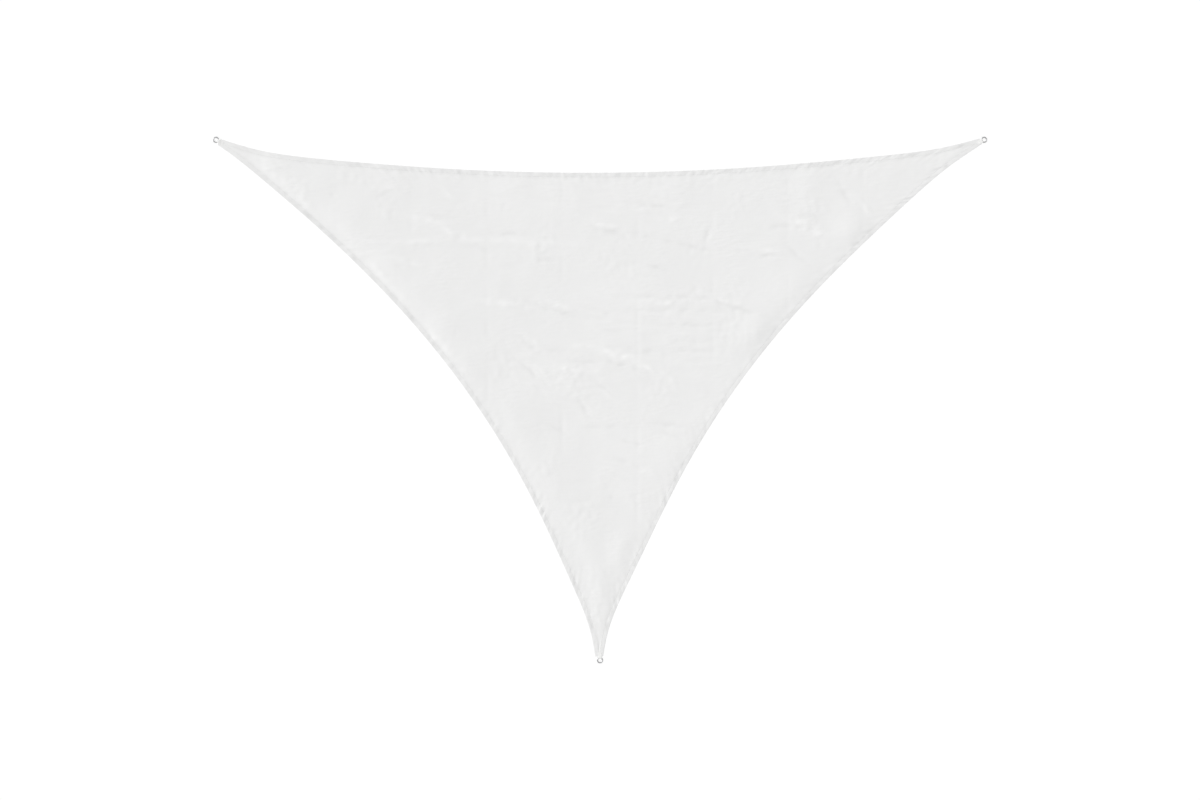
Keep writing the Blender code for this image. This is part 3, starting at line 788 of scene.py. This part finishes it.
webbing = {
    "width": 0.025,
    "thickness": 0.0015,
    "reach": 0.042,        # from the wire to the sewn end
    "legEase": 0.036,      # the upper leg comes down from the wire over this
    "legShare": 0.38,      # of the webbing's length, for each leg
    "wireRadius": 0.004,
    "ringRadius": 0.0195,
    "wireClearance": 0.0008,
    "gap": 0.0003,
    "columns": 49,
    "rows": 196,
    "ribs": 9,             # lengthwise, across its width
    "ribHeight": 0.00013,
    "twillStep": 0.0016,   # the ribs' yarns slant over this length
    "slantShare": 0.3,     # of the relief, and the ribs have the rest
    "slantPhase": 0.6 * math.pi,  # one way on a rib, and the other way beside it
    "selvedgeStart": 0.44,  # of the width, from the middle
    "selvedgeThin": 0.75,  # how much of its thickness goes there
    "thinnest": 0.2,
}
webbing["loopRadius"] = webbing["wireRadius"] + webbing["wireClearance"] + webbing["thickness"] / 2
webbing["wireHeight"] = webbing["thickness"] / 2 + webbing["loopRadius"]
webbing["upperHeight"] = 1.5 * webbing["thickness"] + 2 * webbing["gap"] + sail["tipThickness"]


# A point of the webbing's middle surface. Along runs 0 to 1 from upper end to lower end
def loopPoint(across, along):
    w = webbing
    middle = math.sqrt(w["ringRadius"] ** 2 - across**2)
    inside = math.sqrt((w["ringRadius"] - w["wireRadius"]) ** 2 - across**2)
    setback = w["ringRadius"] - middle
    roundWire = middle - inside + w["loopRadius"] - w["wireRadius"]
    if along < w["legShare"]:
        x = w["reach"] * (1.0 - along / w["legShare"])
        fall = float(smoothStep(0.0, w["legEase"], x))
        top = w["wireHeight"] + w["loopRadius"]
        z = top + fall * (w["upperHeight"] - top)
    elif along > 1.0 - w["legShare"]:
        x = w["reach"] * (along - 1.0 + w["legShare"]) / w["legShare"]
        z = w["thickness"] / 2
    else:
        angle = math.pi * (along - w["legShare"]) / (1.0 - 2.0 * w["legShare"])
        x = -roundWire * math.sin(angle)
        z = w["wireHeight"] + w["loopRadius"] * math.cos(angle)
    x -= setback * (1.0 - float(smoothStep(0.0, w["legEase"], x)))
    return Vector((x, across, z))


# From a piece's own frame at a ring, +X into the sail, to the whole sail's frame
def cornerPlace(name, offset, height=0.0, lean=0.0):
    spot = corners[name] + offset * inwards[name]
    place = Matrix.Translation((spot[0], spot[1], height))
    turn = Matrix.Rotation(math.radians(tipTurns[name]), 4, "Z")
    return place @ turn @ Matrix.Rotation(-lean, 4, "Y")


def makeWebbing(name, material):
    w = webbing
    bm = bmesh.new()
    bmesh.ops.create_grid(bm, x_segments=w["columns"] - 1, y_segments=w["rows"] - 1, size=0.5)
    thin = bm.verts.layers.deform.verify()
    flat = {vertex: (vertex.co.x * w["width"], vertex.co.y + 0.5) for vertex in bm.verts}
    for vertex, (across, along) in flat.items():
        vertex.co = loopPoint(across, along)
    bm.normal_update()
    loopLength = w["reach"] / w["legShare"]
    for vertex, (across, along) in flat.items():
        rib = math.cos(math.tau * (across / w["width"] + 0.5) * w["ribs"])
        phase = w["slantPhase"] if rib > 0 else -w["slantPhase"]
        slant = math.cos(math.tau * along * loopLength / w["twillStep"] + phase)
        relief = (1.0 - w["slantShare"]) * rib + w["slantShare"] * slant
        vertex.co -= vertex.normal * w["ribHeight"] * relief
        vertex.co.z = max(vertex.co.z, w["thickness"] / 2)
        selvedge = float(smoothStep(w["selvedgeStart"], 0.5, abs(across) / w["width"]))
        vertex[thin][0] = 1.0 - w["selvedgeThin"] * selvedge
    place = cornerPlace(name, w["ringRadius"])
    for vertex in bm.verts:
        vertex.co = place @ vertex.co
    mesh = bpy.data.meshes.new("webbing_sewn_" + name)
    bm.to_mesh(mesh)
    bm.free()
    mesh.shade_smooth()
    piece = addPiece("webbing_sewn_" + name, mesh, material)
    piece.vertex_groups.new(name="thin")
    thicken = piece.modifiers.new("thickness", "SOLIDIFY")
    thicken.thickness = w["thickness"]
    thicken.offset = 0.0
    thicken.vertex_group = "thin"
    thicken.thickness_vertex_group = w["thinnest"]
    return piece


boxStitch = {
    "from": 0.0185,     # from the wire's middle, on the upper leg
    "to": 0.0390,
    "halfWidth": 0.0095,
    "pitch": 0.0030,
    "length": 0.0023,
    "sink": 0.0001,
}


# A stitched box with a cross in it, on the upper leg of the webbing
def makeBoxStitches(name, material):
    near, far, side = boxStitch["from"], boxStitch["to"], boxStitch["halfWidth"]
    box = [Vector(corner) for corner in ((near, -side), (far, -side), (far, side), (near, side))]
    lines = [*zip(box, box[1:] + box[:1]), (box[0], box[2]), (box[3], box[1])]
    place = cornerPlace(name, webbing["ringRadius"])
    middles, alongs, ups = [], [], []
    for start, end in lines:
        count = max(2, round((end - start).length / boxStitch["pitch"]))
        for i in range(count):
            spot = start.lerp(end, (i + 0.5) / count)
            legAlong = webbing["legShare"] * (1.0 - spot.x / webbing["reach"])
            surface = loopPoint(spot.y, legAlong)
            surface.x = spot.x
            surface.z += webbing["thickness"] / 2 - boxStitch["sink"]
            middles.append((place @ surface)[:])
            alongs.append((place.to_3x3() @ (end - start).normalized().to_3d())[:])
            ups.append((0.0, 0.0, 1.0))
    placed = [np.array(values) for values in (middles, alongs, ups)]
    return stitchesAlong("box_thread_" + name, boxStitch["length"], *placed, material)


ring = {
    "segments": 120,
    "wireSegments": 28,
    "weldTurn": 1.9,       # where the wire's ends are welded, in radians round the ring
    "weldHeight": 0.00028,
    "weldLength": 0.0022,
    "dipShare": 0.35,      # of the weld's height, for the dip beside it
    "dipLength": 0.0045,
}


def makeRing(name, material):
    w = webbing
    bpy.ops.mesh.primitive_torus_add(
        major_radius=w["ringRadius"],
        minor_radius=w["wireRadius"],
        major_segments=ring["segments"],
        minor_segments=ring["wireSegments"],
    )
    piece = bpy.context.object
    piece.name = "steel_ring_" + name
    piece.data.name = piece.name
    piece.data.materials.append(material)
    for vertex in piece.data.vertices:
        turn = math.atan2(vertex.co.y, vertex.co.x)
        middle = Vector((math.cos(turn), math.sin(turn), 0.0)) * w["ringRadius"]
        gap = (turn - ring["weldTurn"]) * w["ringRadius"]
        dip = ring["dipShare"] * math.exp(-((gap / ring["dipLength"]) ** 2))
        bead = math.exp(-((gap / ring["weldLength"]) ** 2)) - dip
        vertex.co += (vertex.co - middle).normalized() * ring["weldHeight"] * bead
    piece.data.shade_smooth()
    lean = math.asin((w["wireHeight"] - w["wireRadius"]) / (2.0 * w["ringRadius"]))
    height = (w["wireHeight"] + w["wireRadius"]) / 2
    piece.data.transform(cornerPlace(name, w["ringRadius"] * (1.0 - math.cos(lean)), height, lean))
    return piece


def addNode(tree, kind, inputs=None, **settings):
    node = tree.nodes.new(kind)
    for label, value in settings.items():
        setattr(node, label, value)
    for label, value in (inputs or {}).items():
        if isinstance(value, bpy.types.NodeSocket):
            tree.links.new(value, node.inputs[label])
        else:
            node.inputs[label].default_value = value
    return node


# A material whose shader has these values on its own sockets, and the place its textures use
def newMaterial(name, **values):
    material = bpy.data.materials.new(name)
    material.use_nodes = True
    tree = material.node_tree
    shader = tree.nodes["Principled BSDF"]
    for label, value in values.items():
        shader.inputs[label.replace("_", " ")].default_value = value
    return material, tree, shader, addNode(tree, "ShaderNodeTexCoord").outputs["Object"]


def remap(tree, value, low, high, fromLow=0.0, fromHigh=1.0):
    node = addNode(tree, "ShaderNodeMapRange", {0: value, 1: fromLow, 2: fromHigh, 3: low, 4: high})
    return node.outputs[0]


def times(tree, *values):
    product = values[0]
    for value in values[1:]:
        product = addNode(tree, "ShaderNodeMath", {0: product, 1: value}, operation="MULTIPLY").outputs[0]
    return product


# Spreads the values that a noise texture mostly has, 0.3 to 0.7, over a range
def spread(tree, value, low, high):
    return remap(tree, value, low, high, 0.3, 0.7)


def noiseTexture(tree, place, scale, detail, roughness=0.5):
    inputs = {"Vector": place, "Scale": scale, "Detail": detail, "Roughness": roughness}
    return addNode(tree, "ShaderNodeTexNoise", inputs).outputs["Fac"]


# Bands that come once every pitch
def bandTexture(tree, place, pitch, direction):
    inputs = {"Vector": place, "Scale": math.tau / (20.0 * pitch)}
    return addNode(tree, "ShaderNodeTexWave", inputs, bands_direction=direction).outputs["Fac"]


def scaled(tree, place, *scale):
    return addNode(tree, "ShaderNodeMapping", {"Vector": place, "Scale": scale}).outputs[0]


def storedValue(tree, name):
    return addNode(tree, "ShaderNodeAttribute", attribute_name=name).outputs["Fac"]


def addBump(tree, height, depth, strength=1.0, **normal):
    inputs = {"Height": height, "Distance": depth, "Strength": strength, **normal}
    return addNode(tree, "ShaderNodeBump", inputs).outputs[0]


def setGrey(tree, shader, grey, blueShare=1.0):
    color = addNode(tree, "ShaderNodeCombineColor", {0: grey, 1: grey, 2: times(tree, grey, blueShare)})
    tree.links.new(color.outputs[0], shader.inputs["Base Color"])


# Clouds over a grey and over the roughness
def setClouds(tree, shader, place, grey, finish):
    clouds = noiseTexture(tree, place, finish["cloudScale"], finish["cloudDetail"])
    setGrey(tree, shader, times(tree, grey, spread(tree, clouds, *finish["clouds"])), finish["blueShare"])
    tree.links.new(spread(tree, clouds, *finish["rough"]), shader.inputs["Roughness"])


clothFinish = {
    "grey": 0.785,           # how much light the plain cloth gives back
    "blueShare": 0.997,
    "rough": (0.80, 0.92),
    "hemGrey": 0.971,        # painted shade on the doubled hem, which lets less light through, as a share of the plain cloth
    "darkestHemShade": 6.0,      # the painted shade at the hem's tucks may be this many times as dark as its band
    # the rim's painted shade, as a share of the plain cloth
    "paintedRimShadeGrey": 0.95,
    "mottle": 0.008,
    "mottleScale": 1.7,
    "slub": 0.015,           # thicker yarns, which run along X
    "slubScale": (6.0, 900.0, 1.0),
    "paintedCreaseShading": 0.020,     # painted shade in troughs and painted highlight on ridges, whichever way they run
    "paintedShadingLimit": 2.0,
    "weavePitch": 0.0009,
    "weaveDepth": 0.00012,
    "patchScale": 3.5,       # the small relief below comes in patches
    "patchEdges": (0.40, 0.65),
    "calmShare": 0.15,       # of it, outside the patches
    "crinkleSize": 0.030,
    "crinkleStretch": 0.55,
    "crinkleDepth": 0.00055,
    "dashSize": 0.020,       # of the small level creases
    "dashStretch": 0.32,
    "dashDepth": 0.0012,
}


def makeClothMaterial():
    finish = clothFinish
    material, tree, shader, place = newMaterial(
        "off_white_sailcloth", Metallic=0.0, Specular_IOR_Level=0.02, Sheen_Weight=0.01, Sheen_Roughness=0.5
    )
    clouds = noiseTexture(tree, place, finish["mottleScale"], 4.0)
    mottle = spread(tree, clouds, 1.0 - finish["mottle"], 1.0 + finish["mottle"])
    # Painted shade on the hem, darker at its spots and tucks
    darkest = finish["darkestHemShade"]
    darkestGrey = 1.0 - darkest * (1.0 - finish["hemGrey"])
    hemGrey = remap(tree, storedValue(tree, "paintedHemShade"), 1.0, darkestGrey, 0.0, darkest)
    # Painted shade along the rim
    paintedRimShadeGrey = remap(tree, storedValue(tree, "paintedRimShade"), 1.0, finish["paintedRimShadeGrey"])
    slub = noiseTexture(tree, scaled(tree, place, *finish["slubScale"]), 1.0, 1.0)
    slubGrey = spread(tree, slub, 1.0 - finish["slub"], 1.0 + finish["slub"])
    # Painted highlight on crease ridges and painted shade in their troughs
    limit = finish["paintedShadingLimit"]
    most = limit * finish["paintedCreaseShading"]
    creaseShadingGrey = remap(tree, storedValue(tree, "paintedCreaseShading"), 1.0 - most, 1.0 + most, -limit, limit)
    grey = times(tree, finish["grey"], mottle, hemGrey, paintedRimShadeGrey, slubGrey, creaseShadingGrey)
    setGrey(tree, shader, grey, finish["blueShare"])
    tree.links.new(spread(tree, clouds, *finish["rough"]), shader.inputs["Roughness"])

    patches = noiseTexture(tree, place, finish["patchScale"], 1.0)
    patchy = remap(tree, patches, finish["calmShare"], 1.0, *finish["patchEdges"])
    crinklePlace = scaled(tree, place, finish["crinkleStretch"], 1.0, 1.0)
    crinkles = noiseTexture(tree, crinklePlace, 1.0 / finish["crinkleSize"], 3.0, 0.45)
    crinkled = addBump(tree, times(tree, crinkles, patchy), finish["crinkleDepth"])
    dashPlace = scaled(tree, place, finish["dashStretch"], 1.0, 1.0)
    dashes = noiseTexture(tree, dashPlace, 1.0 / finish["dashSize"], 2.0, 0.4)
    dashed = addBump(tree, times(tree, dashes, patchy), finish["dashDepth"], Normal=crinkled)
    warp = bandTexture(tree, place, finish["weavePitch"], "X")
    weft = bandTexture(tree, place, finish["weavePitch"], "Y")
    weave = addNode(tree, "ShaderNodeMath", {0: warp, 1: weft}, operation="MAXIMUM").outputs[0]
    woven = addBump(tree, weave, finish["weaveDepth"], 0.5, Normal=dashed)
    tree.links.new(woven, shader.inputs["Normal"])
    return material


webbingFinish = {
    "grey": 0.82,
    "blueShare": 0.99,
    "clouds": (0.94, 1.03),
    "rough": (0.62, 0.80),
    "cloudScale": 160.0,
    "cloudDetail": 3.0,
    "yarnPitch": 0.0007,
    "yarnDepth": 0.00010,
    "slopeShade": 0.18,      # its fibres spread the light, so a slope is shaded by this share
}


def makeWebbingMaterial():
    finish = webbingFinish
    material, tree, shader, place = newMaterial(
        "white_webbing", Metallic=0.0, Specular_IOR_Level=0.35, Sheen_Weight=0.05, Sheen_Roughness=0.5
    )
    setClouds(tree, shader, place, finish["grey"], finish)
    yarns = bandTexture(tree, place, finish["yarnPitch"], "DIAGONAL")
    bumped = addBump(tree, yarns, finish["yarnDepth"], 0.7)
    evening = (finish["slopeShade"], finish["slopeShade"], 1.0)
    evened = addNode(tree, "ShaderNodeVectorMath", {0: bumped, 1: evening}, operation="MULTIPLY")
    unit = addNode(tree, "ShaderNodeVectorMath", {0: evened.outputs[0]}, operation="NORMALIZE")
    tree.links.new(unit.outputs[0], shader.inputs["Normal"])
    return material


threadFinish = {
    "hemGrey": 0.44,
    "boxGrey": 0.74,
    "blueShare": 1.0,
    "clouds": (0.75, 1.2),
    "rough": (0.5, 0.7),
    "cloudScale": 45.0,
    "cloudDetail": 2.0,
    "twistPitch": 0.0006,
    "twistDepth": 0.00006,
}


def makeThreadMaterial(name, grey):
    finish = threadFinish
    material, tree, shader, place = newMaterial(name, Metallic=0.0, Specular_IOR_Level=0.4, Sheen_Weight=0.05)
    setClouds(tree, shader, place, grey, finish)
    twist = bandTexture(tree, place, finish["twistPitch"], "DIAGONAL")
    tree.links.new(addBump(tree, twist, finish["twistDepth"], 0.6), shader.inputs["Normal"])
    return material


steelFinish = {
    "grey": 0.40,
    "blueShare": 1.02,
    "clouds": (0.85, 1.12),
    "rough": (0.42, 0.56),
    "cloudScale": 240.0,
    "cloudDetail": 4.0,
    "scratchScale": (1500.0, 150.0, 1500.0),
    "scratchDepth": 0.00002,
}


def makeSteelMaterial():
    finish = steelFinish
    material, tree, shader, place = newMaterial("satin_steel", Metallic=1.0)
    setClouds(tree, shader, place, finish["grey"], finish)
    scratches = noiseTexture(tree, scaled(tree, place, *finish["scratchScale"]), 1.0, 2.0)
    tree.links.new(addBump(tree, scratches, finish["scratchDepth"], 0.5), shader.inputs["Normal"])
    return material


studio = {
    "floorSize": 600.0,
    "floorGrey": 0.95,
    "floorMottle": 0.003,
    "floorMottleScale": 0.6,
    "keyTurn": 160.0,      # the light comes from here, in degrees round from +X
    "keyRise": 19.0,       # above the floor
    "keyStrength": 3.9,
    "keySpread": 30.0,     # as wide as a softbox
    "keyDistance": 8.0,
    "skyStrength": 0.675,
    "frameWidth": 9.29,    # of floor that the camera sees
    "lens": 100.0,
    "sensor": 36.0,
    "clipEnd": 1000.0,
}


def makeFloor():
    material, tree, shader, place = newMaterial("pale_floor", Roughness=0.9, Specular_IOR_Level=0.1)
    clouds = noiseTexture(tree, place, studio["floorMottleScale"], 2.0)
    mottle = spread(tree, clouds, 1.0 - studio["floorMottle"], 1.0 + studio["floorMottle"])
    setGrey(tree, shader, times(tree, studio["floorGrey"], mottle))
    bpy.ops.mesh.primitive_plane_add(size=studio["floorSize"])
    floor = bpy.context.object
    floor.name = "floor"
    floor.data.materials.append(material)
    return floor


def makeLight():
    light = bpy.data.lights.new("key_light", "SUN")
    light.energy = studio["keyStrength"]
    light.angle = math.radians(studio["keySpread"])
    light.use_shadow = False  # the sky alone gives the faint shadow at the rim
    lamp = bpy.data.objects.new("key_light", light)
    bpy.context.scene.collection.objects.link(lamp)
    turn, rise = math.radians(studio["keyTurn"]), math.radians(studio["keyRise"])
    towards = Vector((math.cos(turn) * math.cos(rise), math.sin(turn) * math.cos(rise), math.sin(rise)))
    lamp.location = towards * studio["keyDistance"]
    lamp.rotation_euler = towards.to_track_quat("Z", "Y").to_euler()

    world = bpy.data.worlds.new("studio_white")
    world.use_nodes = True
    bpy.context.scene.world = world
    tree = world.node_tree
    white = (1.0, 1.0, 1.0, 1.0)
    fill = tree.nodes["Background"]
    fill.inputs["Color"].default_value = white
    fill.inputs["Strength"].default_value = studio["skyStrength"]
    seen = addNode(tree, "ShaderNodeBackground", {"Color": white, "Strength": 1.0})
    straight = addNode(tree, "ShaderNodeLightPath").outputs["Is Camera Ray"]
    mixed = addNode(tree, "ShaderNodeMixShader", {0: straight, 1: fill.outputs[0], 2: seen.outputs[0]})
    tree.links.new(mixed.outputs[0], tree.nodes["World Output"].inputs["Surface"])


def makeCamera():
    data = bpy.data.cameras.new("camera")
    data.lens = studio["lens"]
    data.sensor_width = studio["sensor"]
    data.clip_end = studio["clipEnd"]
    camera = bpy.data.objects.new("camera", data)
    bpy.context.scene.collection.objects.link(camera)
    camera.location = (0.0, 0.0, studio["frameWidth"] * studio["lens"] / studio["sensor"])
    bpy.context.scene.camera = camera


bpy.context.scene.view_settings.view_transform = "Standard"

floor = makeFloor()
makeLight()
makeCamera()
print("floor, light and camera made")

clothMaterial = makeClothMaterial()
webbingMaterial = makeWebbingMaterial()
hemThreadMaterial = makeThreadMaterial("grey_thread", threadFinish["hemGrey"])
boxThreadMaterial = makeThreadMaterial("white_thread", threadFinish["boxGrey"])
steelMaterial = makeSteelMaterial()

sailCloth = makeSailCloth(clothMaterial)
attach(sailCloth, "root")
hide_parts("sail_cloth")

seams = [makeHemStitches(opposite, hemThreadMaterial) for opposite in edges]
for seam in seams:
    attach(seam, "root")
print("hem stitched:", sum(len(seam.data.polygons) for seam in seams), "faces")

fittings = []
for name in cornerNames:
    loop = makeWebbing(name, webbingMaterial)
    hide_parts("webbing_loop_" + name)
    stitches = makeBoxStitches(name, boxThreadMaterial)
    steel = makeRing(name, steelMaterial)
    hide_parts("corner_ring_" + name)
    for piece in (loop, stitches, steel):
        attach(piece, "root")
    fittings += [loop, stitches, steel]
    print("corner fitted:", name)
